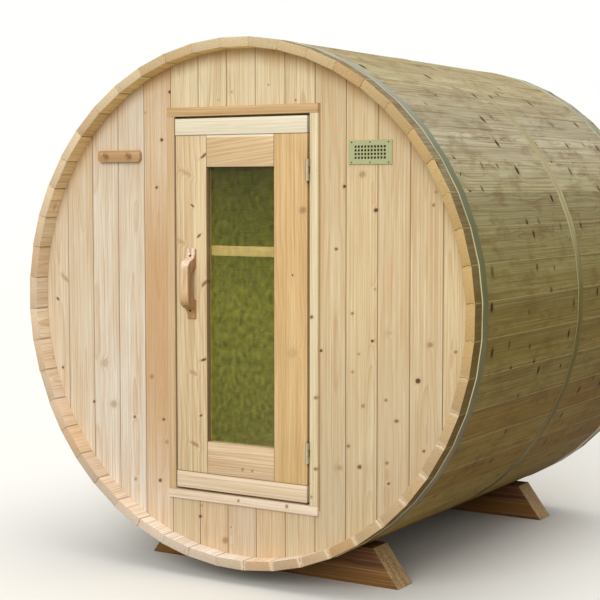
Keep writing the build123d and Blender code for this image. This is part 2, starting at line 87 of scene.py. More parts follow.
# Knots as (x, height over the barrel's axis, radius, darkness), in millimetres. A knot that is cut along its length
# has two more values: how many times wider it is than high, and how much it climbs to the right.
LEFT_WALL_KNOTS = [
    (-355, 603, 7, 0.9), (-381, 426, 6, 0.9), (-321, 324, 5, 0.8), (-316, 779, 7, 0.9), (-431, 705, 5, 0.5),
    (-869, -11, 6, 0.85, 1.4, -0.5), (-832, 73, 10, 0.5, 1.9, -0.7), (-848, -281, 6, 0.8), (-691, -405, 6, 0.95),
    (-636, -250, 16, 0.4), (-594, -407, 15, 0.5), (-492, -449, 7, 0.75), (-354, -447, 7, 0.8), (-340, -532, 9, 0.5),
    (-491, -689, 7, 0.6), (-373, -682, 8, 0.85), (-307, -390, 7, 1.0), (-409, -288, 9, 0.6), (-797, -482, 6, 0.7),
]
RIGHT_WALL_KNOTS = [
    (337, -146, 6, 0.9), (464, -9, 6, 0.7), (543, -101, 6, 0.9), (608, -70, 9, 0.35), (764, -102, 10, 0.6),
    (860, -120, 6, 0.7), (465, -213, 6, 0.6), (490, -149, 5, 0.6), (720, -227, 10, 1.0), (597, -302, 6, 0.7),
    (507, -329, 8, 0.6), (639, -371, 7, 0.75, 1.5, 0.1), (449, -475, 7, 0.7), (494, -544, 9, 0.8),
    (744, -465, 6, 0.8), (602, -520, 7, 0.7), (609, -591, 6, 0.8), (411, -555, 12, 0.4), (502, 471, 12, 0.55),
    (431, 430, 7, 0.95), (555, 349, 8, 1.0), (774, 368, 6, 0.7), (783, 411, 5, 0.6), (398, 213, 6, 0.8),
    (553, 79, 5, 0.5),
]
OVER_DOOR_KNOTS = [(232, 732, 4, 0.8), (-98, 743, 6, 0.35), (-41, 769, 6, 0.35), (120, 790, 4, 0.6)]
UNDER_DOOR_KNOTS = [(-187, -799, 7, 0.9), (-75, -876, 13, 0.6), (-49, -823, 4, 0.7), (-180, -757, 5, 0.5)]
LEFT_STILE_KNOTS = [
    (-158, 542, 6, 0.85, 2.4, 0.6), (-242, 481, 8, 0.4, 3.0, -0.4), (-211, 360, 4, 0.9, 1.9, -0.5),
    (-181, 249, 5, 0.85, 2.0, 0.6), (-265, 227, 7, 0.4, 2.6, -0.4), (-155, 76, 8, 0.75, 2.0, 0.7),
    (-162, -208, 5, 0.9, 2.6, 0.3), (-208, -260, 7, 0.45, 2.3, -0.3), (-176, -417, 4, 0.95, 1.5, 0.4),
    (-206, -526, 7, 0.6, 2.6, -0.35),
]
RIGHT_STILE_KNOTS = [(267, 347, 12, 0.6), (225, 117, 4, 0.95, 0.7, 0.0), (224, -160, 16, 0.25)]
JAMB_KNOTS = [(305, -28, 6, 0.8), (322, -313, 6, 0.7), (322, -567, 6, 0.7), (305, -669, 5, 0.6)]
BOTTOM_RAIL_KNOTS = [(9, -601, 5, 0.7), (51, -602, 5, 0.6)]
SILL_KNOTS = [(-8, -718, 5, 0.7), (201, -715, 6, 0.7)]
ROUND_KNOT = (1.15, 0.1)
NO_KNOT = (9.0, 0.0, 0.0)

# Tones are red, green and blue values of 0 to 255, as a paint chart gives them.
# A knot's heart, its lines, its body and the wood that darkens round it:
KNOT_BROWN = [(92, 60, 38), (120, 82, 50), (148, 106, 68), (184, 142, 92)]
KNOT_BLACK = [(36, 22, 6), (50, 33, 12), (68, 48, 20), (94, 70, 34)]

# The front wall's boards, from the leftmost to the rightmost:
CREAM, SAND, TAN = (222, 212, 192), (218, 204, 178), (217, 195, 164)
STRAW, WHEAT, OAT, WARM = (229, 215, 177), (218, 199, 157), (213, 194, 155), (217, 190, 150)
BOARD_TONES = [SAND, SAND, CREAM, CREAM, TAN, STRAW, STRAW, STRAW, STRAW, STRAW, OAT, WHEAT, OAT, OAT, WHEAT]
LOW_BOARD_TONES = [OAT, WARM, TAN, WARM, OAT]

# The staves' outer faces, inner faces and sawn ends, anticlockwise round the barrel from its left side (0.0), by
# its bottom (0.25), its right side (0.5) and its top (0.75), back to its left side (1.0):
# The outer tones hold painted shade, darker over the right side, and a painted sheen, lighter high on the right.
OUTER_TONES = [
    (0.0, (156, 139, 88)), (0.14, (142, 120, 70)), (0.32, (160, 130, 68)), (0.36, (176, 150, 84)),
    (0.42, (168, 142, 79)), (0.456, (157, 141, 81)), (0.48, (134, 117, 59)), (0.5, (129, 116, 62)),
    (0.53, (142, 135, 85)), (0.56, (152, 145, 104)), (0.61, (188, 180, 152)), (0.66, (176, 166, 130)),
    (0.72, (166, 152, 110)), (0.86, (172, 156, 108)), (1.0, (156, 139, 88)),
]
# The inner tones are painted paler on the left, painted light on the lips that are in shade there.
INNER_TONES = [
    (0.0, (253, 238, 213)), (0.1, (230, 208, 182)), (0.14, (234, 214, 192)), (0.22, (243, 236, 226)),
    (0.3, (240, 226, 206)), (0.36, (202, 178, 142)), (0.5, (192, 160, 106)), (0.62, (222, 192, 124)),
    (0.75, (255, 226, 142)), (0.9, (246, 216, 160)), (1.0, (253, 238, 213)),
]
END_TONES = [
    (0.0, (224, 202, 172)), (0.12, (202, 184, 159)), (0.2, (216, 203, 184)), (0.25, (202, 187, 164)),
    (0.29, (188, 163, 134)), (0.34, (194, 171, 134)), (0.42, (196, 172, 134)), (0.5, (196, 165, 108)),
    (0.62, (200, 175, 122)), (0.72, (214, 195, 155)), (0.86, (222, 204, 168)), (1.0, (224, 202, 172)),
]

# Dark joints of the door and the frame, as (axis, place on it, half width):
SEAM_WIDTH = 0.0018
TOP_SEAM, LOW_SEAM = ("Z", 0.6169, SEAM_WIDTH), ("Z", -0.6309, SEAM_WIDTH)
LEFT_SEAM, RIGHT_SEAM = ("X", -0.147, SEAM_WIDTH), ("X", 0.146, SEAM_WIDTH)
LEFT_EDGE, JAMB_EDGE = ("X", -0.286, 0.005), ("X", 0.296, 0.002)


def shade(red, green, blue):
    """A tone as a node takes it."""
    def linear(c):
        c /= 255
        return c / 12.92 if c <= 0.04045 else ((c + 0.055) / 1.055) ** 2.4
    return (linear(red), linear(green), linear(blue), 1.0)


class Tree:
    """A material's or a group's nodes, added and linked in short calls."""

    def __init__(self, tree):
        self.tree = tree

    def node(self, kind, inputs=None, **settings):
        made = self.tree.nodes.new(kind)
        for name, value in settings.items():
            setattr(made, name, value)
        for key, value in (inputs or {}).items():
            self.feed(made.inputs[key], value)
        return made

    def feed(self, socket, value):
        if isinstance(value, bpy.types.NodeSocket):
            self.tree.links.new(value, socket)
        else:
            socket.default_value = value

    def group(self, tree, values):
        """A node group with a value for each of its inputs, as its outputs."""
        made = self.node("ShaderNodeGroup", node_tree=tree)
        for socket, value in zip(made.inputs, values):
            self.feed(socket, value)
        return made.outputs

    def math(self, operation, a, b=0.0, c=0.0):
        return self.node("ShaderNodeMath", {0: a, 1: b, 2: c}, operation=operation).outputs[0]

    def plus(self, a, b):
        return self.math("ADD", a, b)

    def minus(self, a, b):
        return self.math("SUBTRACT", a, b)

    def times(self, a, b):
        return self.math("MULTIPLY", a, b)

    def times_plus(self, a, b, c):
        return self.math("MULTIPLY_ADD", a, b, c)

    def over(self, a, b):
        return self.math("DIVIDE", a, b)

    def above(self, a, limit):
        return self.math("GREATER_THAN", a, limit)

    def below(self, a, limit):
        return self.math("LESS_THAN", a, limit)

    def absolute(self, a):
        return self.math("ABSOLUTE", a)

    def floor(self, a):
        return self.math("FLOOR", a)

    def fraction(self, a):
        return self.math("FRACT", a)

    def root(self, a):
        return self.math("SQRT", a)

    def diagonal(self, a, b):
        """The distance that two steps at right angles make."""
        return self.root(self.plus(self.times(a, a), self.times(b, b)))

    def between(self, value, low, high, to_low=0.0, to_high=1.0, smooth=False):
        """A value carried from one range to another and held at its ends."""
        made = self.node(
            "ShaderNodeMapRange",
            {"Value": value, "From Min": low, "From Max": high, "To Min": to_low, "To Max": to_high},
            interpolation_type="SMOOTHSTEP" if smooth else "LINEAR",
        )
        return made.outputs[0]

    def mix(self, factor, a, b, blend="MIX"):
        made = self.node("ShaderNodeMix", data_type="RGBA", blend_type=blend)
        for socket, value in zip([made.inputs[0], made.inputs[6], made.inputs[7]], [factor, a, b]):
            self.feed(socket, value)
        return made.outputs[2]

    def multiply(self, a, b):
        """Two colours multiplied."""
        return self.mix(1.0, a, b, "MULTIPLY")

    def ramp(self, value, stops, interpolation="LINEAR"):
        """A colour by a value, from stops of (place, tone)."""
        made = self.node("ShaderNodeValToRGB", {0: value})
        made.color_ramp.interpolation = interpolation
        while len(made.color_ramp.elements) < len(stops):
            made.color_ramp.elements.new(0.5)
        for element, (place, tone) in zip(made.color_ramp.elements, stops):
            element.position = place
            element.color = shade(*tone)
        return made.outputs[0]

    def point(self, x, y, z):
        return self.node("ShaderNodeCombineXYZ", {0: x, 1: y, 2: z}).outputs[0]

    def scaled(self, places, scales):
        """A point whose three places are each multiplied by a scale."""
        return self.point(*(self.times(place, scale) for place, scale in zip(places, scales)))

    def grey(self, value):
        return self.node("ShaderNodeCombineColor", {0: value, 1: value, 2: value}).outputs[0]

    def split(self, vector):
        return self.node("ShaderNodeSeparateXYZ", {0: vector}).outputs

    def channels(self, colour):
        return self.node("ShaderNodeSeparateColor", {0: colour}).outputs

    def chance(self, seed):
        """The number and the colour that fall to a seed."""
        return self.node("ShaderNodeTexWhiteNoise", {"W": seed}, noise_dimensions="1D").outputs

    def noise(self, vector, scale, detail=2.0, roughness=0.5):
        made = self.node(
            "ShaderNodeTexNoise", {"Vector": vector, "Scale": scale, "Detail": detail, "Roughness": roughness}
        )
        return made.outputs[0]

    def relief(self, shader, height, strength, distance, **inputs):
        """Fine relief on a shader."""
        made = self.node("ShaderNodeBump", {"Height": height, "Strength": strength, "Distance": distance, **inputs})
        self.feed(shader.inputs["Normal"], made.outputs[0])


def new_group(name, inputs, outputs):
    """An empty node group with number sockets, as (group, tree, input sockets, output node)."""
    made = bpy.data.node_groups.new(name, "ShaderNodeTree")
    for socket in inputs:
        made.interface.new_socket(socket, in_out="INPUT", socket_type="NodeSocketFloat")
    for socket in outputs:
        made.interface.new_socket(socket, in_out="OUTPUT", socket_type="NodeSocketFloat")
    tree = Tree(made)
    return made, tree, tree.node("NodeGroupInput").outputs, tree.node("NodeGroupOutput")


def ring_swell(t, radius, distance):
    """How far the growth rings swell at a distance, in knot radii, from a knot's heart."""
    near = t.plus(t.times(distance, t.times(distance, 0.25)), 1.0)
    return t.over(radius, t.times(near, near))


def make_knot_group():
    """One knot: passes on the distance to the nearest knot so far, its darkness and how far the rings swell."""
    made, t, given, out = new_group(
        "knot",
        [
            "Across", "Along", "Middle across", "Middle along", "Radius", "Darkness", "Stretch", "Lean",
            "Nearest", "Nearest darkness", "Swell",
        ],
        ["Nearest", "Nearest darkness", "Swell"],
    )
    across = t.minus(given["Across"], given["Middle across"])
    along = t.minus(given["Along"], given["Middle along"])
    along = t.minus(along, t.times(across, given["Lean"]))
    across = t.over(across, given["Stretch"])
    distance = t.over(t.diagonal(across, along), given["Radius"])
    nearer = t.below(distance, given["Nearest"])
    darkness = t.between(nearer, 0.0, 1.0, given["Nearest darkness"], given["Darkness"])
    t.feed(out.inputs["Nearest"], t.math("MINIMUM", distance, given["Nearest"]))
    t.feed(out.inputs["Nearest darkness"], darkness)
    t.feed(out.inputs["Swell"], t.plus(given["Swell"], ring_swell(t, given["Radius"], distance)))
    return made


def make_grain_group():
    """Sawn softwood: growth rings about a pith that wanders behind each board, fine fibres and soft clouds."""
    made, t, given, out = new_group(
        "grain",
        ["Across", "Depth", "Along", "Board", "Swell", "Ring width"],
        ["Rings", "Fibres", "Streaks", "Hairs", "Clouds"],
    )
    chance = t.channels(t.chance(given["Board"])["Color"])
    along = t.times_plus(chance[0], 9.0, given["Along"])
    place = t.point(t.times(along, 1.3), given["Board"], 0.0)
    wander = t.node("ShaderNodeTexNoise", {"Vector": place, "Scale": 1.0, "Detail": 2.0})
    drift = t.split(wander.outputs["Color"])
    pith_across = t.times_plus(chance[1], 0.14, t.between(drift[0], 0.2, 0.8, -0.085, -0.055))
    pith_depth = t.times_plus(chance[2], 0.07, t.between(drift[1], 0.2, 0.8, 0.012, 0.036))
    ripple = t.noise(t.point(t.times(given["Across"], 14.0), t.times(along, 2.2), 0.0), 1.0)
    radius = t.diagonal(t.minus(given["Across"], pith_across), t.plus(given["Depth"], pith_depth))
    radius = t.plus(radius, t.times_plus(ripple, 0.009, given["Swell"]))
    own_width = t.between(t.fraction(t.times(chance[0], 7.13)), 0.0, 1.0, 0.8, 1.9)
    turn = t.fraction(t.over(radius, t.times(given["Ring width"], own_width)))
    late = t.math("POWER", turn, 3.0)
    fall = t.between(turn, 0.93, 1.0, 1.0, 0.0)
    t.feed(out.inputs["Rings"], t.times(late, fall))
    places = (given["Across"], given["Depth"], along)
    t.feed(out.inputs["Fibres"], t.noise(t.scaled(places, (420.0, 420.0, 9.0)), 1.0, 3.0, 0.6))
    t.feed(out.inputs["Streaks"], t.noise(t.scaled(places, (165.0, 110.0, 0.9)), 1.0, 3.0, 0.6))
    hairs = t.noise(t.scaled(places, (260.0, 120.0, 1.6)), 1.0, 2.0, 0.5)
    t.feed(out.inputs["Hairs"], t.between(hairs, 0.6, 0.68))
    t.feed(out.inputs["Clouds"], t.noise(t.scaled(places, (22.0, 22.0, 2.6)), 1.0, 3.0, 0.55))
    return made


KNOT = make_knot_group()
GRAIN = make_grain_group()


def new_material(name):
    """A new material, as (material, tree, shader)."""
    made = bpy.data.materials.new(name)
    made.use_nodes = True
    return made, Tree(made.node_tree), made.node_tree.nodes["Principled BSDF"]


def object_point(t):
    return t.split(t.node("ShaderNodeTexCoord").outputs["Object"])


def face_normal(t):
    return t.split(t.node("ShaderNodeNewGeometry").outputs["True Normal"])


def board_at(t, x):
    """The upright board at a place, counted from the middle, and the distance from that board's middle."""
    board = t.floor(t.times_plus(x, 1 / BOARD, 0.5))
    return board, t.minus(x, t.times(board, BOARD))


def grained(t, across, depth, along, board, swell, ring_width):
    return t.group(GRAIN, [across, depth, along, board, swell, ring_width])


def in_metres(knots, radius_unit=1000):
    """Knots with their lengths in metres. A larger unit than 1000 makes them a little smaller."""
    return [(x / 1000, height / 1000, radius / radius_unit, *rest) for x, height, radius, *rest in knots]


def placed_knots(t, across, along, knots):
    """A chain of knots from a list, as (nearest distance, darkness, swell)."""
    jitter = t.noise(t.point(across, along, 0.0), 90.0, 1.0)
    across = t.plus(across, t.times_plus(jitter, 0.005, -0.0025))
    found = NO_KNOT
    for middle_across, middle_along, radius, darkness, *shape in knots:
        knot = (middle_across, middle_along, radius, darkness, *(shape or ROUND_KNOT))
        found = tuple(t.group(KNOT, [across, along, *knot, *found]))
    return found


def scattered_knots(t, across, along, board, spacing, share, size, squeeze=0.7):
    """Knots that fall by chance, one in some cells, as (nearest distance, darkness, swell)."""
    cell_width = spacing * 0.4
    place = t.point(t.over(across, cell_width), t.over(along, spacing), t.times(board, 3.7))
    cells = t.node(
        "ShaderNodeTexVoronoi", {"Vector": place, "Scale": 1.0, "Randomness": 0.9}, voronoi_dimensions="3D"
    )
    chance = t.channels(cells.outputs["Color"])
    centre = t.split(cells.outputs["Position"])
    off_across = t.minus(across, t.times(centre[0], cell_width))
    off_along = t.times(t.minus(along, t.times(centre[1], spacing)), squeeze)
    radius = t.times_plus(chance[1], size * 0.8, size * 0.6)
    nearest = t.over(t.diagonal(off_across, off_along), radius)
    there = t.below(chance[0], share)
    darkness = t.times(there, t.times_plus(chance[2], 0.5, 0.45))
    return nearest, darkness, t.times(there, ring_swell(t, radius, nearest))


def wood_colour(t, grain, tone, late, strength=0.4, cloud=0.35, pale=0.3):
    """A board's tone with its rings, streaks, hair lines, fibres and clouds."""
    patches = t.between(grain["Clouds"], 0.38, 0.62, 0.6 * strength, 1.8 * strength)
    colour = t.mix(t.times(grain["Rings"], patches), tone, late)
    streaks = t.between(grain["Streaks"], 0.48, 0.62, 0.0, strength)
    colour = t.mix(streaks, colour, late)
    light = t.between(grain["Streaks"], 0.36, 0.44, pale, 0.0)
    colour = t.mix(light, colour, t.mix(0.45, tone, shade(255, 246, 226)))
    clouds = t.between(grain["Clouds"], 0.35, 0.75, 0.0, cloud)
    colour = t.mix(clouds, colour, late)
    colour = t.mix(t.times(grain["Hairs"], 1.75 * strength), colour, late)
    return t.multiply(colour, t.grey(t.between(grain["Fibres"], 0.3, 0.75, 0.88, 1.07)))


def with_knots(t, grain, colour, nearest, darkness, core):
    """A wood's colour with its knots, their fine lines and the wood that darkens round them."""
    heart_tone, line_tone, body_tone, halo_tone = core
    halo = t.times(t.between(nearest, 0.9, 2.4, 0.35, 0.0, smooth=True), darkness)
    colour = t.mix(halo, colour, shade(*halo_tone))
    heart = t.ramp(nearest, [(0.0, heart_tone), (0.35, line_tone), (0.7, body_tone), (1.0, line_tone)])
    heart = t.mix(t.between(darkness, 0.6, 0.95, 0.0, 0.75), heart, shade(50, 34, 22))
    solid = t.times(darkness, t.between(darkness, 0.3, 0.8, 0.3, 1.1))
    inside = t.between(nearest, 0.8, 1.05, 1.0, 0.0, smooth=True)
    colour = t.mix(t.times(inside, solid), colour, heart)
    ragged = t.between(grain["Fibres"], 0.2, 0.8, 0.0, 0.5)
    turns = t.fraction(t.times_plus(nearest, 2.2, ragged))
    line = t.between(t.absolute(t.minus(turns, 0.5)), 0.04, 0.2, 1.0, 0.0)
    fade = t.times(t.between(nearest, 0.95, 1.5, 0.75, 0.0), t.root(darkness))
    return t.mix(t.times(line, fade), colour, shade(*line_tone))


def finish_wood(t, shader, grain, colour, knots, roughness=0.5, specular=0.35, core=KNOT_BROWN):
    """Joins a wood's colour, its knots and its relief to the shader."""
    if knots is not None:
        colour = with_knots(t, grain, colour, *knots, core)
    t.feed(shader.inputs["Base Color"], colour)
    t.feed(shader.inputs["Roughness"], t.between(grain["Rings"], 0.0, 1.0, roughness, roughness - 0.1))
    edge = t.node("ShaderNodeBevel", {"Radius": 0.0012}, samples=4)
    t.relief(shader, t.times_plus(grain["Rings"], 0.5, grain["Fibres"]), 0.35, 0.0004, Normal=edge.outputs[0])
    shader.inputs["Specular IOR Level"].default_value = specular


def wall_wood(name, knots, tones=BOARD_TONES, foot=0.99):
    """Upright boards of the front wall, each with the tone of its place; foot dulls them low down."""
    made, t, shader = new_material(name)
    x, y, z = object_point(t)
    level = t.minus(z, AXIS_HEIGHT)
    board, across = board_at(t, x)
    nearest, darkness, swell = placed_knots(t, x, level, in_metres(knots, 1150))
    grain = grained(t, across, t.minus(y, -WALL_FACE), z, board, swell, 0.0052)
    count = len(tones)
    stops = [(i / count, tone) for i, tone in enumerate(tones)]
    tone = t.ramp(t.between(board, -count / 2, count / 2), stops, "CONSTANT")
    # A painted shadow over the middle height of the board beside the left jamb
    painted_light = t.between(t.absolute(t.plus(level, 0.1)), 0.25, 0.65, 0.85, 0.0)
    painted_light = t.times(t.math("COMPARE", board, SHADED_BOARD, 0.1), painted_light)
    tone = t.mix(painted_light, tone, shade(196, 156, 112))
    colour = wood_colour(t, grain, tone, shade(190, 148, 96), 0.42, 0.3)
    to_joint = t.minus(BOARD / 2, t.absolute(across))
    colour = t.mix(t.between(to_joint, 0.001, 0.0032, 0.6, 0.0), colour, shade(128, 88, 48))

    # The line of shadow beside the right jamb
    by_jamb = t.times(t.between(x, JAMB_SIDE, JAMB_SIDE + 0.003, 0.75, 0.0), t.above(x, 0.31))
    by_jamb = t.times(by_jamb, t.below(t.absolute(level), JAMB_HALF_HEIGHT))
    colour = t.mix(by_jamb, colour, shade(150, 110, 62))

    # Painted shadow under the rim, high up
    uneven = t.noise(t.point(t.times(x, 9.0), 0.0, t.times(z, 3.0)), 1.0)
    under_rim = t.plus(t.diagonal(x, level), t.times_plus(uneven, 0.10, -0.05))
    painted_rim_shadow = t.times(t.between(under_rim, 0.86, 0.925, smooth=True), t.between(level, 0.2, 0.7, 0.0, 0.45))
    colour = t.mix(painted_rim_shadow, colour, shade(198, 150, 78))

    low = t.between(level, -0.65, 0.05, 1.0, 0.0)
    dull = shade(*(255 * share for share in (foot, foot + 0.01, foot + 0.04)))
    colour = t.mix(low, colour, dull, "MULTIPLY")
    finish_wood(t, shader, grain, colour, (nearest, darkness))
    return made


def plain_wall_wood():
    """Boards of the back wall, with chance tones and knots."""
    made, t, shader = new_material("back_wall_wood")
    x, y, z = object_point(t)
    board, across = board_at(t, x)
    nearest, darkness, swell = scattered_knots(t, x, z, board, 0.30, 0.55, 0.009)
    grain = grained(t, across, t.minus(WALL_FACE, y), z, t.plus(board, 31.0), swell, 0.0042)
    pick = t.chance(t.plus(board, 5.3))["Value"]
    tone = t.ramp(pick, [(0.0, (216, 180, 128)), (0.5, (226, 200, 148)), (1.0, (232, 208, 160))])
    colour = wood_colour(t, grain, tone, shade(204, 166, 112), 0.4, 0.3)
    finish_wood(t, shader, grain, colour, (nearest, darkness))
    return made


def weathered_and_shaded(t, round_barrel, stave, pick, y, level):
    """The staves' outer tone, from weathering and painted shade: each stave's own, three browner ones, and painted
    shade low down to the rear.
    """
    tone = t.multiply(t.ramp(round_barrel, OUTER_TONES), t.grey(t.between(pick, 0.0, 1.0, 0.84, 1.14)))
    brown = 0.0
    for place in BROWN_STAVES:
        brown = t.plus(brown, t.math("COMPARE", stave, place, 0.1))
    tone = t.mix(t.times(brown, 0.5), tone, shade(119, 84, 26))
    # Painted shade low down to the rear
    shaded_low_rear = t.times(t.between(y, 0.0, 0.9, 0.0, 0.6), t.between(level, 0.1, -0.4))
    tone = t.mix(shaded_low_rear, tone, shade(118, 86, 36))
    before_band = t.between(y, FRONT_BAND_EDGE, FRONT_BAND_EDGE + 0.002, 0.5, 0.0)
    return t.mix(before_band, tone, shade(84, 62, 30))


def sawn_ends(t, grain, tone, x, level, across, outward, stave, to_joint):
    """The staves' ends: saw marks, rings, pale corners at the lower right and fine cracks."""
    marks = t.noise(t.point(t.times(outward, 420.0), t.times(across, 150.0), stave), 1.0, 3.0, 0.7)
    tone = t.mix(t.between(marks, 0.4, 0.7, 0.0, 0.55), tone, shade(150, 108, 66))
    tone = t.mix(t.times(grain["Rings"], 0.35), tone, shade(168, 124, 76))
    low_right = t.times(t.between(level, -0.1, -0.35, 0.0, 0.6), t.above(x, 0.0))
    corners = t.times(t.between(to_joint, 0.003, 0.013, 0.9, 0.0), low_right)
    tone = t.mix(corners, tone, shade(232, 214, 184))
    split = t.noise(t.point(t.times(across, 30.0), t.times(outward, 16.0), stave), 1.0, 1.0)
    crack = t.between(t.absolute(t.minus(split, 0.42)), 0.002, 0.005, 0.4, 0.0)
    return t.mix(crack, tone, shade(116, 84, 52))


def stave_wood():
    """Staves: darker outside from weathering and painted shade, golden on their sawn ends and pale inside."""
    made, t, shader = new_material("stave_wood")
    x, y, z = object_point(t)
    level = t.minus(z, AXIS_HEIGHT)
    angle = t.times(t.math("ARCTAN2", level, x), 180 / math.pi)
    stave = t.floor(t.over(t.minus(angle, STAVE_TURN), STAVE_STEP))
    middle = t.times_plus(t.plus(stave, 0.5), STAVE_STEP, STAVE_TURN)
    across = t.times(t.minus(angle, middle), STAVE_FACE * math.pi / 180)
    outward = t.diagonal(x, level)
    depth = t.minus(STAVE_FACE, outward)
    # The stave on the left that the angle's two ends share gets one number.
    stave = t.times_plus(t.below(stave, -STAVE_COUNT / 2 - 0.5), STAVE_COUNT, stave)
    nearest, darkness, swell = scattered_knots(t, across, y, stave, 0.25, 0.55, 0.0125, 1.7)
    grain = grained(t, across, depth, y, stave, swell, 0.0045)

    normal = face_normal(t)
    outside = t.above(t.plus(t.times(normal[0], x), t.times(normal[2], level)), 0.45)
    inside = t.minus(1.0, outside)
    end = t.above(t.absolute(normal[1]), 0.7)
    half = t.times(outward, math.tan(math.radians(STAVE_STEP / 2)))
    to_joint = t.minus(half, t.absolute(across))

    pick = t.chance(t.plus(stave, 2.7))["Value"]
    round_barrel = t.between(angle, -180.0, 180.0)
    golden = t.between(t.fraction(t.times(pick, 5.7)), 0.5, 1.0, 0.0, 0.5)
    own = t.grey(t.between(pick, 0.0, 1.0, 0.9, 1.08))
    outer = weathered_and_shaded(t, round_barrel, stave, pick, y, level)
    inner = t.multiply(t.mix(golden, t.ramp(round_barrel, INNER_TONES), shade(220, 176, 118)), own)
    cut = t.multiply(t.mix(golden, t.ramp(round_barrel, END_TONES), shade(194, 150, 96)), own)

    late = t.mix(outside, shade(196, 156, 106), shade(104, 76, 38))
    colour = wood_colour(t, grain, t.mix(outside, inner, outer), late, 0.4, 0.25, 0.12)
    # A painted highlight along each joint of the outer faces, where the staves' edges catch light
    painted_light = t.times(t.between(to_joint, 0.0006, 0.0026, 0.7, 0.0), outside)
    colour = t.mix(painted_light, colour, shade(194, 178, 130))
    seam = t.times(t.between(to_joint, 0.0003, 0.0013, 0.55, 0.0), t.above(t.absolute(y), RIM_DEPTH))
    colour = t.mix(t.times(seam, inside), colour, shade(122, 86, 52))
    colour = t.mix(end, colour, sawn_ends(t, grain, cut, x, level, across, outward, stave, to_joint))
    place = t.point(t.times(x, 16.0), t.times_plus(y, 7.0, t.times(stave, 5.3)), t.times(level, 16.0))
    dull = t.between(t.noise(place, 1.0, 4.0, 0.65), 0.5, 0.66, 0.0, 0.42)
    colour = t.mix(t.times(dull, outside), colour, shade(100, 74, 36))
    shown = t.times(t.times(darkness, t.between(outside, 0.0, 1.0, 0.35, 1.15)), t.minus(1.0, end))
    finish_wood(t, shader, grain, colour, (nearest, shown), 0.7, 0.08, KNOT_BLACK)
    return made


def plank_wood(
    name, along, tone, late, seed, ring_width=0.004, strength=0.4, cloud=0.2, knots=None, seams=(), lean=0.0,
    painted_highlight_top=None,
):
    """One plank: along is the axis of its grain, which may lean, and painted_highlight_top is the level where a paler
    edge, a painted highlight, starts.

    Knots are placed by a list, absent if it is empty, and scattered without one."""
    made, t, shader = new_material(name)
    x, y, z = object_point(t)
    level = t.minus(z, AXIS_HEIGHT)
    across, run = (x, level) if along == "Z" else (level, x)
    nearest, darkness, swell = NO_KNOT
    if knots is None:
        nearest, darkness, swell = scattered_knots(t, across, run, seed, 0.5, 0.25, 0.006)
    elif knots:
        spots = in_metres(knots)
        if along == "X":
            spots = [(height, place, *rest) for place, height, *rest in spots]
        nearest, darkness, swell = placed_knots(t, across, run, spots)
    if lean:
        across = t.times_plus(run, lean, across)
    grain = grained(t, across, y, run, seed, swell, ring_width)
    colour = wood_colour(t, grain, shade(*tone), shade(*late), strength, cloud)
    # A painted highlight along the plank's top edge
    if painted_highlight_top:
        pale = t.between(level, painted_highlight_top - 0.001, painted_highlight_top + 0.001, 0.0, 0.6)
        colour = t.mix(pale, colour, shade(246, 234, 210))
    for axis, place, width in seams:
        off = t.absolute(t.minus(x if axis == "X" else level, place))
        colour = t.mix(t.between(off, 0.4 * width, width, 0.75, 0.0), colour, shade(112, 76, 42))
    finish_wood(t, shader, grain, colour, None if knots == [] else (nearest, darkness), 0.48)
    return made


def handle_wood():
    """The handle: painted light from above, pale high on its front and darker under the grip, and painted shade on
    its cheeks.
    """
    made, t, shader = new_material("handle_wood")
    x, y, z = object_point(t)
    grain = grained(t, y, x, z, 18.0, 0.0, 0.005)
    # Painted shade on both cheeks; the front's tones by height are painted light from above
    shaded_cheeks = t.between(t.absolute(face_normal(t)[0]), 0.5, 0.8)
    front = t.ramp(
        t.between(z, HANDLE_FOOT, HANDLE_TOP),
        [
            (0.0, (176, 136, 86)), (0.2, (156, 120, 68)), (0.29, (204, 168, 122)), (0.4, (226, 194, 152)),
            (0.68, (226, 196, 156)), (0.78, (240, 216, 194)), (1.0, (236, 210, 186)),
        ],
    )
    colour = wood_colour(t, grain, t.mix(shaded_cheeks, front, shade(176, 134, 88)), shade(160, 114, 68), 0.4, 0.3)
    finish_wood(t, shader, grain, colour, None, 0.42)
    return made


def floor_wood():
    """Slats and bearers inside."""
    made, t, shader = new_material("floor_wood")
    x, y, z = object_point(t)
    slat = t.floor(t.over(x, FLOOR_SLAT))
    nearest, darkness, swell = scattered_knots(t, x, y, slat, 0.4, 0.4, 0.008)
    grain = grained(t, x, z, y, slat, swell, 0.004)
    colour = wood_colour(t, grain, shade(206, 174, 126), shade(176, 130, 80), 0.4, 0.3)
    finish_wood(t, shader, grain, colour, (nearest, darkness), 0.6)
    return made


def cradle_wood():
    """Red-brown face above a wavy grain line, golden below it and pale on the sloped ends; the face holds painted
    shade.
    """
    made, t, shader = new_material("cradle_wood")
    x, y, z = object_point(t)
    plank = t.floor(t.over(y, CRADLE_PLANK))
    nearest, darkness, swell = scattered_knots(t, z, x, plank, 0.5, 0.3, 0.008)
    grain = grained(t, z, y, x, plank, swell, 0.006)
    wave = t.noise(t.point(t.times(x, 5.0), t.times(y, 4.0), 0.0), 1.0, 2.0)
    line = t.plus(z, t.times_plus(wave, 0.05, -0.025))
    # Painted shade: the face is darker high up under the barrel and at its foot
    tone = t.ramp(
        t.between(line, 0.0, 0.14),
        [
            (0.0, (84, 52, 18)), (0.06, (128, 86, 26)), (0.52, (130, 86, 26)), (0.6, (64, 34, 10)),
            (0.68, (114, 66, 24)), (1.0, (108, 62, 22)),
        ],
    )
    end = t.above(t.absolute(face_normal(t)[0]), 0.5)
    tone = t.mix(end, tone, shade(190, 156, 98))
    colour = wood_colour(t, grain, tone, shade(100, 62, 28), 0.4, 0.25)
    finish_wood(t, shader, grain, colour, (nearest, darkness), 0.6)
    return made


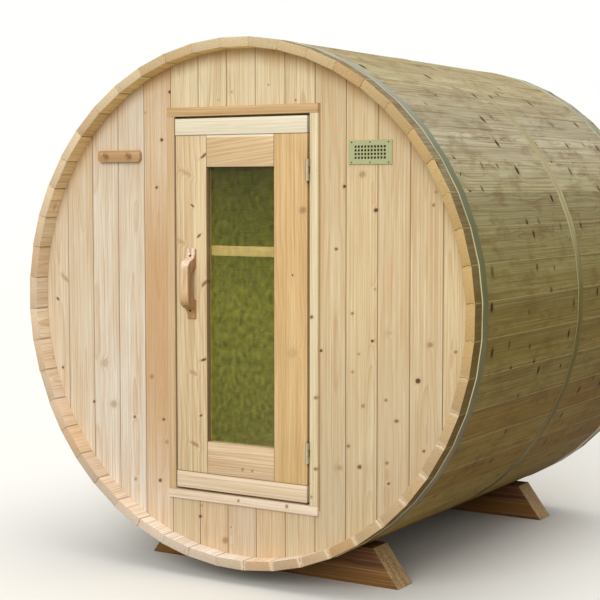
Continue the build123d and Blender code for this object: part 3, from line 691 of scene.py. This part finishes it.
def finish_steel(t, shader, tone, places, roughness):
    """Joins steel's tone, its fine rolling lines and its dull smears to the shader."""
    lines = t.noise(t.scaled(places, (3.0, 900.0, 3.0)), 1.0, 2.0)
    smears = t.noise(t.scaled(places, (2.0, 12.0, 2.0)), 3.0, 3.0)
    colour = t.multiply(tone, t.grey(t.between(lines, 0.3, 0.7, 0.86, 1.0)))
    colour = t.mix(t.between(smears, 0.45, 0.75, 0.0, 0.45), colour, shade(84, 74, 50))
    t.feed(shader.inputs["Base Color"], colour)
    t.feed(shader.inputs["Roughness"], t.between(smears, 0.35, 0.75, roughness, roughness + 0.15))
    t.relief(shader, lines, 0.15, 0.0002)
    shader.inputs["Metallic"].default_value = 1.0


def steel(name, tone, roughness):
    """Steel of one tone."""
    made, t, shader = new_material(name)
    finish_steel(t, shader, shade(*tone), object_point(t), roughness)
    return made


def strap_steel(name, glance, shade_and_glint):
    """Strap steel: painted reflection, blue-grey high up and browner low down, and a painted highlight on its rolled
    front edge.

    By shade_and_glint, from 0 to 1, a strap gets painted shade low down, a painted glint high up and a dimmer edge
    highlight."""
    made, t, shader = new_material(name)
    x, y, z = object_point(t)
    # The tones by height are painted reflection
    tone = t.ramp(
        t.between(z, 0.1, 1.95),
        [
            (0.0, (86, 76, 54)), (0.13, (112, 112, 104)), (0.2, (118, 104, 80)), (0.28, (84, 72, 40)),
            (0.42, (82, 79, 36)), (0.6, (92, 93, 46)), (0.72, (104, 106, 74)), (0.8, (120, 127, 100)),
            (1.0, (172, 180, 178)),
        ],
    )
    # Painted shade low down
    low = t.math("MINIMUM", t.between(z, 1.1, 0.6, 0.0, 0.8), t.between(z, 0.42, 0.52, 0.15, 0.8))
    tone = t.mix(t.times(low, shade_and_glint), tone, shade(32, 22, 5))
    # A painted glint high up
    tone = t.mix(t.between(z, 1.06, 1.42, 0.1 * shade_and_glint, 0.8 * shade_and_glint), tone, shade(208, 194, 156))
    from_front = 1.0
    for front in BAND_FRONTS:
        from_front = t.math("MINIMUM", t.absolute(t.minus(y, front)), from_front)
    # A painted highlight along each band's front edge
    brightness = t.between(z, 0.7, 1.1, 0.9 - 0.65 * shade_and_glint, 0.9 - 0.35 * shade_and_glint)
    edge = t.times(brightness, t.between(from_front, 0.006, 0.008, 1.0, 0.0))
    tone = t.mix(edge, tone, shade(226, 216, 170))
    finish_steel(t, shader, tone, (x, y, z), 0.3)
    shader.inputs["Specular Tint"].default_value = glance
    return made


def pane_glass():
    """Glass with a painted olive reflection, darker towards its top and mottled, through which the bar behind it
    shows.
    """
    made, t, shader = new_material("pane_glass")
    x, _, z = object_point(t)
    soft = t.noise(t.point(t.times(x, 2.0), 0.0, z), 3.0, 2.0)
    level = t.plus(z, t.times_plus(soft, 0.3, -0.15))
    # The olive tones by height and their mottles are painted reflection
    tone = t.ramp(t.between(level, 0.5, 1.5), [(0.0, (150, 152, 54)), (0.5, (174, 177, 65)), (1.0, (104, 110, 40))])
    reflection_mottle = t.noise(t.point(t.times(x, 1.6), 0.0, z), 34.0, 6.0, 0.75)
    t.feed(shader.inputs["Base Color"], t.multiply(tone, t.grey(t.between(reflection_mottle, 0.35, 0.65, 0.4, 1.6))))
    shader.inputs["Roughness"].default_value = 0.03
    shader.inputs["Alpha"].default_value = 0.2
    shader.inputs["IOR"].default_value = 1.5
    return made


def moulded_plastic(name, tone):
    """Moulded plastic with a faint orange-peel skin, a little darker in patches."""
    made, t, shader = new_material(name)
    place = t.node("ShaderNodeTexCoord").outputs["Object"]
    skin = t.noise(place, 900.0, 2.0)
    age = t.between(t.noise(place, 25.0, 2.0), 0.3, 0.7, 0.0, 0.4)
    t.feed(shader.inputs["Base Color"], t.mix(age, shade(*tone), shade(*(c - 18 for c in tone))))
    t.feed(shader.inputs["Roughness"], t.between(skin, 0.0, 1.0, 0.38, 0.52))
    t.relief(shader, skin, 0.1, 0.0002)
    return made


STAVE = stave_wood()
BACK = plain_wall_wood()
FLOOR = floor_wood()
CRADLE = cradle_wood()
STRAP = strap_steel("band_steel", (0.9, 0.88, 0.84, 1.0), 0.0)
DULL_SHADED_STRAP = strap_steel("dull_shaded_band_steel", (0.6, 0.56, 0.46, 1.0), 1.0)
BOLT = steel("bolt_steel", (168, 170, 168), 0.35)
HINGE = steel("hinge_metal", (178, 166, 140), 0.4)
# The screws' steel is painted dark, painted shade of the recesses they sit in
DARK_SCREW = steel("dark_screw_steel", (62, 46, 36), 0.5)
FINISHES = {
    "front_wall_left": wall_wood("left_wall_wood", LEFT_WALL_KNOTS),
    "front_wall_right": wall_wood("right_wall_wood", RIGHT_WALL_KNOTS, foot=0.92),
    "front_wall_over_door": wall_wood("over_door_wood", OVER_DOOR_KNOTS),
    "front_wall_under_door": wall_wood("under_door_wood", UNDER_DOOR_KNOTS, LOW_BOARD_TONES, 0.96),
    "back_wall_left": BACK,
    "back_wall_middle": BACK,
    "back_wall_right": BACK,
    "front_band": STRAP,
    "middle_band": DULL_SHADED_STRAP,
    "rear_band": STRAP,
    "band_bolts": BOLT,
    "cradle_front": CRADLE,
    "cradle_rear": CRADLE,
    "floor_boards": FLOOR,
    "floor_bearers": FLOOR,
    "door_header": plank_wood("header_wood", "X", (211, 177, 127), (166, 122, 74), 3.0, 0.006, knots=[]),
    "door_sill": plank_wood("sill_wood", "X", (227, 209, 186), (198, 164, 122), 5.0, knots=SILL_KNOTS),
    "door_jamb_left": plank_wood("left_jamb_wood", "Z", (208, 180, 140), (180, 140, 94), 7.0, 0.003, knots=[]),
    "door_jamb_right": plank_wood(
        "right_jamb_wood", "Z", (223, 209, 172), (194, 162, 114), 8.0, 0.003, knots=JAMB_KNOTS, seams=[JAMB_EDGE],
    ),
    "door_stops": plank_wood("stop_wood", "Z", (206, 170, 116), (180, 138, 84), 9.0),
    "door_top_batten": plank_wood(
        "top_batten_wood", "X", (233, 223, 197), (206, 184, 146), 11.0, 0.005, 0.25, knots=[], seams=[TOP_SEAM],
    ),
    "door_bottom_batten": plank_wood(
        "bottom_batten_wood", "X", (222, 202, 172), (194, 160, 120), 12.0, 0.005, knots=[], seams=[LOW_SEAM],
    ),
    "door_stile_left": plank_wood(
        "left_stile_wood", "Z", (220, 200, 160), (184, 144, 96), 13.0, 0.0038, 0.45, 0.25, LEFT_STILE_KNOTS,
        [TOP_SEAM, LOW_SEAM, LEFT_SEAM, LEFT_EDGE],
    ),
    "door_stile_right": plank_wood(
        "right_stile_wood", "Z", (217, 184, 130), (186, 140, 84), 14.0, 0.0036, 0.4, 0.3, RIGHT_STILE_KNOTS,
        [TOP_SEAM, LOW_SEAM, RIGHT_SEAM],
    ),
    "door_top_rail": plank_wood(
        "top_rail_wood", "X", (220, 194, 150), (184, 144, 94), 15.0, 0.006, 0.45, 0.3, [],
        [TOP_SEAM, LEFT_SEAM, RIGHT_SEAM], lean=-0.12, painted_highlight_top=0.608,
    ),
    "door_bottom_rail": plank_wood(
        "bottom_rail_wood", "X", (218, 195, 160), (186, 148, 104), 16.0, 0.006, 0.6, 0.3, BOTTOM_RAIL_KNOTS,
        [LOW_SEAM, LEFT_SEAM, RIGHT_SEAM],
    ),
    # The inner bar's tone is painted lighter, painted light that makes up for the tinted pane in front of it
    "door_inner_bar": plank_wood("inner_bar_wood", "X", (240, 204, 136), (220, 176, 108), 17.0, knots=[]),
    "door_handle": handle_wood(),
    "door_glass": pane_glass(),
    "hinges_frame_side": HINGE,
    "hinges_door_side": HINGE,
    "vent_grille": moulded_plastic("grille_plastic", (171, 174, 127)),
    "hook_rail": plank_wood("rail_board_wood", "X", (194, 156, 108), (162, 120, 76), 20.0),
}
FINISHES.update((name, STAVE) for name in cad if name.startswith("staves_"))
for name, node in cad.items():
    node.data.materials.clear()
    node.data.materials.append(FINISHES[name])


def add_object(mesh, name, material):
    """A new object from a finished mesh."""
    data = bpy.data.meshes.new(name)
    mesh.to_mesh(data)
    mesh.free()
    made = bpy.data.objects.new(name, data)
    bpy.context.scene.collection.objects.link(made)
    data.materials.append(material)
    return made


def keep(mesh, name, body, material, sharp=35.0):
    """Makes a finished mesh into a piece that rides on a body, smooth except over its sharp edges."""
    for edge in mesh.edges:
        edge.smooth = edge.calc_face_angle(0.0) < math.radians(sharp)
    for face in mesh.faces:
        face.smooth = True
    made = add_object(mesh, name, material)
    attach(made, body)
    return made


def whole_copy(node):
    """A solid's mesh with its triangles joined up into whole faces."""
    mesh = bmesh.new()
    mesh.from_mesh(cad[node].data)
    bmesh.ops.remove_doubles(mesh, verts=mesh.verts, dist=1e-5)
    bmesh.ops.dissolve_limit(mesh, angle_limit=math.radians(1.0), verts=mesh.verts, edges=mesh.edges)
    return mesh


def round_over(mesh, edges, width, segments, **settings):
    bmesh.ops.bevel(
        mesh, geom=edges, offset=width, offset_type="OFFSET", segments=segments, affect="EDGES", profile=0.5,
        material=-1, **settings,
    )


def eased(node, width, segments=2, sharp=30.0):
    """A copy of a solid with its sharp edges rounded over, which stands for that solid."""
    mesh = whole_copy(node)
    edges = [e for e in mesh.edges if len(e.link_faces) == 2 and e.calc_face_angle() > math.radians(sharp)]
    round_over(mesh, edges, width, segments, clamp_overlap=True)
    made = keep(mesh, node + "_eased", cad[node]["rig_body"], FINISHES[node])
    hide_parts(node)


for node, slot, width in [
    ("door_header", "header_wood", 0.002),
    ("door_sill", "frame_wood", 0.002),
    ("door_jamb_left", "frame_wood", 0.0015),
    ("door_jamb_right", "frame_wood", 0.0015),
    ("door_top_batten", "batten_wood", 0.0025),
    ("door_bottom_batten", "batten_wood", 0.002),
    ("door_stile_left", "stile_wood", 0.002),
    ("door_stile_right", "golden_wood", 0.002),
    ("door_top_rail", "rail_wood", 0.002),
    ("door_bottom_rail", "rail_wood", 0.002),
    ("door_inner_bar", "rail_wood", 0.002),
    ("hook_rail", "rail_board_wood", 0.002),
    ("cradle_front", "cradle_wood", 0.002),
    ("cradle_rear", "cradle_wood", 0.002),
]:
    eased(node, width)
eased("door_handle", 0.0035, 3)


MOST_SHORT, STAVE_ROUNDING = 0.004, 0.0022


def islands(mesh):
    """The separate solids of a mesh, each as its vertices, in the order of their first vertices."""
    left, found = set(mesh.verts), []
    for first in mesh.verts:
        if first not in left:
            continue
        left.remove(first)
        queue = [first]
        island = [first]
        while queue:
            near = {e.other_vert(v) for v in queue for e in v.link_edges} & left
            left -= near
            queue = list(near)
            island += queue
        found.append(island)
    return found


def eased_staves(node, chance):
    """Staves that stop a little short of each other at the front, with their front ends' edges rounded over."""
    mesh = whole_copy(node)
    low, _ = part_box(node)
    for island in islands(mesh):
        short = chance.uniform(0.0, MOST_SHORT)
        for v in island:
            if v.co.y < low.y + 1e-4:
                v.co.y += short

    def is_front_rim(edge):
        ends = [abs(face.normal.y) > 0.9 for face in edge.link_faces]
        return any(ends) and not all(ends) and all(v.co.y < low.y + MOST_SHORT + 0.001 for v in edge.verts)

    round_over(mesh, [e for e in mesh.edges if is_front_rim(e)], STAVE_ROUNDING, 2)
    made = keep(mesh, node + "_eased", "hut", STAVE)
    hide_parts(node)


chance = random.Random(48)
for node in sorted(n for n in cad if n.startswith("staves_")):
    eased_staves(node, chance)

for node in ("front_band", "middle_band", "rear_band"):
    strap = keep(whole_copy(node), node + "_rolled", "hut", FINISHES[node])
    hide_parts(node)


def surface_under(node, x, z):
    """Where a line along +Y first meets a solid, and the solid's outward direction there."""
    mesh = bmesh.new()
    mesh.from_mesh(cad[node].data)
    place, normal, _, _ = BVHTree.FromBMesh(mesh).ray_cast(Vector((x, -2.0, z)), Vector((0, 1, 0)))
    mesh.free()
    return place, normal


def screw(mesh, place, outward, radius, thickness=0.002, lift=0.0006, recess=0.0012):
    """A round screw head with a round recess, let a little into a surface."""
    turn = outward.to_track_quat("Z", "Y").to_matrix().to_4x4()
    made = bmesh.ops.create_cone(
        mesh, cap_ends=True, cap_tris=False, segments=20, radius1=radius, radius2=radius, depth=thickness,
        matrix=Matrix.Translation(place + outward * lift) @ turn,
    )
    top = max({f for v in made["verts"] for f in v.link_faces}, key=lambda f: f.calc_center_median().dot(outward))
    bmesh.ops.inset_individual(mesh, faces=[top], thickness=radius * 0.35, depth=-recess)


HANDLE_SCREW_RADIUS, GRILLE_SCREW_RADIUS = 0.0045, 0.0022
FROM_HANDLE_TOP, FROM_HANDLE_FOOT = 0.027, 0.031
GRILLE_SCREW_STEP, GRILLE_SCREW_RISE = 0.072, 0.0345

low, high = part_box("door_handle")
mesh = bmesh.new()
for height in (high.z - FROM_HANDLE_TOP, low.z + FROM_HANDLE_FOOT):
    place, outward = surface_under("door_handle", (low.x + high.x) / 2, height)
    screw(mesh, place, outward, HANDLE_SCREW_RADIUS)
keep(mesh, "handle_screws", "door", DARK_SCREW)

low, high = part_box("vent_grille")
middle = (low + high) / 2
mesh = bmesh.new()
for side in (-1, 1):
    for column in (-1, 0, 1):
        place = Vector((middle.x + column * GRILLE_SCREW_STEP, low.y, middle.z + side * GRILLE_SCREW_RISE))
        screw(mesh, place, Vector((0, -1, 0)), GRILLE_SCREW_RADIUS)
keep(mesh, "grille_screws", "hut", DARK_SCREW)


def seen_directly(t):
    """1 for a ray from the camera, off something shiny or through glass, and 0 for any other."""
    seen = t.node("ShaderNodeLightPath").outputs
    shiny_or_clear = t.math("MAXIMUM", seen["Is Glossy Ray"], seen["Is Transmission Ray"])
    return t.math("MAXIMUM", seen["Is Camera Ray"], shiny_or_clear)


def set_floor():
    """A wide pale floor that isn't part of the object."""
    mesh = bmesh.new()
    bmesh.ops.create_circle(mesh, cap_ends=True, segments=96, radius=40.0)
    made, t, shader = new_material("studio_floor")
    t.feed(shader.inputs["Base Color"], t.mix(seen_directly(t), shade(150, 148, 142), shade(226, 224, 218)))
    shader.inputs["Roughness"].default_value = 0.9
    floor = add_object(mesh, "studio_floor", made)


def set_lights():
    """A broad key from the front left, a soft one overhead and an even pale surround."""
    for name, strength, spread, direction in [
        ("key", 2.15, 40, (-0.18, 0.87, -0.45)),
        ("overhead", 1.9, 70, (-0.1, 0.0, -1.0)),
    ]:
        sun = bpy.data.lights.new(name, "SUN")
        sun.energy = strength
        sun.angle = math.radians(spread)
        lamp = bpy.data.objects.new(name, sun)
        lamp.rotation_euler = Vector(direction).to_track_quat("-Z", "Y").to_euler()
        bpy.context.scene.collection.objects.link(lamp)
    world = bpy.data.worlds.new("surround")
    bpy.context.scene.world = world
    world.use_nodes = True
    t = Tree(world.node_tree)
    background = world.node_tree.nodes["Background"]
    t.feed(background.inputs["Strength"], t.between(seen_directly(t), 0.0, 1.0, 0.43, 1.0))
    background.inputs["Color"].default_value = (1.0, 1.0, 0.98, 1.0)


def set_camera():
    """The photograph's viewing angle."""
    data = bpy.data.cameras.new("camera")
    data.lens = 88.99
    data.sensor_width = 36.0
    camera = bpy.data.objects.new("camera", data)
    camera.location = (3.000, -5.330, 1.446)
    camera.rotation_euler = (math.radians(85.633), 0.0, math.radians(31.689))
    bpy.context.scene.collection.objects.link(camera)
    bpy.context.scene.camera = camera


set_floor()
set_lights()
set_camera()
bpy.context.scene.view_settings.view_transform = "Standard"
